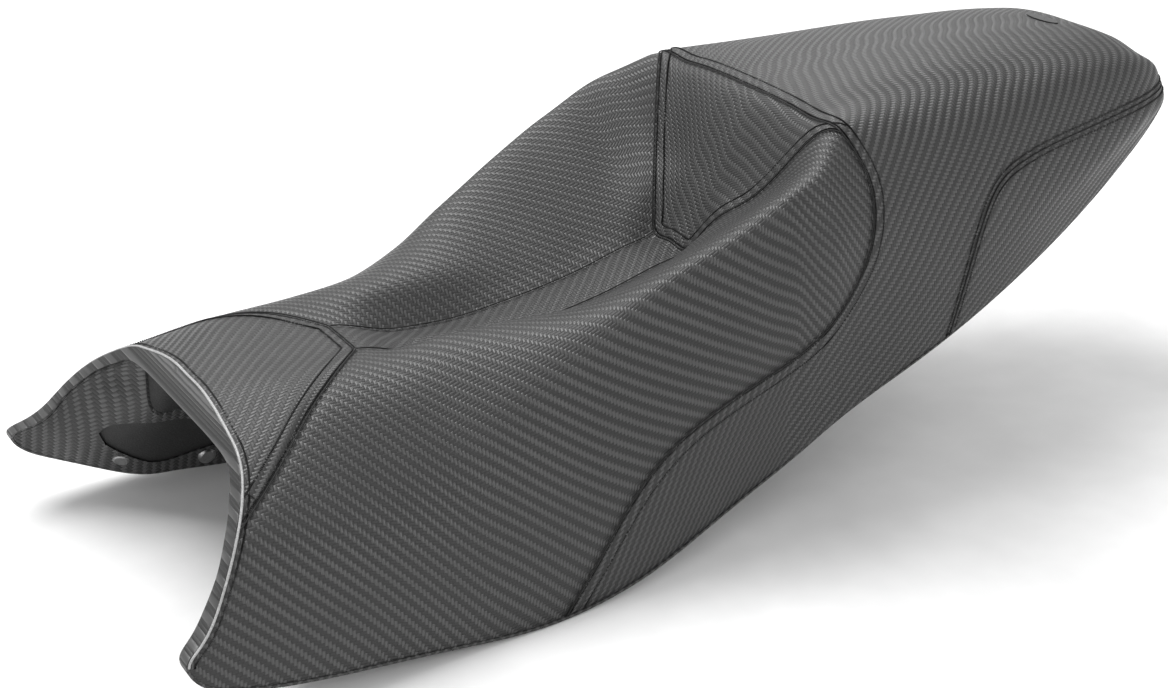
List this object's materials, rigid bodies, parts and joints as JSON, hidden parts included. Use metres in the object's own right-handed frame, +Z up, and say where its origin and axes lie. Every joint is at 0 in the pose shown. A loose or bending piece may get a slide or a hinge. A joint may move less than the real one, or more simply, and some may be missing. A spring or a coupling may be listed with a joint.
{
  "type": "motorcycle seat",
  "caption": "Sport motorcycle seat for rider and passenger: deep bucket, raised pillion pad, forked front, sewn carbon-look vinyl cover over foam and a moulded pan.",
  "frame": {"origin": "centre of the seat's outline in plan, at the height of its lowest edge", "axes": "+Z up, +Y towards the tail, +X towards the rider's left; symmetric about X = 0"},
  "size_m": [0.2838, 0.7001, 0.2315],
  "materials": {
    "cover_vinyl": "satin carbon-look twill vinyl, black",
    "liner_vinyl": "satin carbon-look twill vinyl liner, black",
    "edge_vinyl": "folded vinyl edge with stitches, black",
    "foam": "moulded polyurethane foam, dark grey",
    "gel": "soft gel, dark blue-grey",
    "pan_plastic": "fine-textured moulded plastic, black",
    "steel_zinc": "zinc-plated steel",
    "rivet_metal": "dark anodised pop rivet",
    "rubber": "black rubber",
    "patch": "plain glossy oval, black"
  },
  "bodies": {
    "root": {"base_pan": "pan_plastic", "foam_rider": "foam", "foam_passenger": "foam", "gel_pad_left": "gel", "gel_pad_right": "gel", "cover_nose": "cover_vinyl", "cover_channel": "cover_vinyl", "cover_lumbar": "cover_vinyl", "cover_rider_left": "cover_vinyl", "cover_rider_right": "cover_vinyl", "cover_passenger": "cover_vinyl", "cover_tail_left": "cover_vinyl", "cover_tail_right": "cover_vinyl", "horn_liner_left": "liner_vinyl", "horn_liner_right": "liner_vinyl", "turned_edge_left": "liner_vinyl", "turned_edge_right": "liner_vinyl", "edge_fold_front": "edge_vinyl", "edge_fold_left": "edge_vinyl", "edge_fold_right": "edge_vinyl", "rivets_left": "rivet_metal", "rivets_right": "rivet_metal", "tail_patch": "patch", "front_tongue": "steel_zinc", "tongue_screws": "steel_zinc", "striker_plate": "steel_zinc", "latch_striker": "steel_zinc", "striker_screws": "steel_zinc", "bumper_front_left": "rubber", "bumper_front_right": "rubber", "bumper_rear_left": "rubber", "bumper_rear_right": "rubber"}
  },
  "joints": []
}
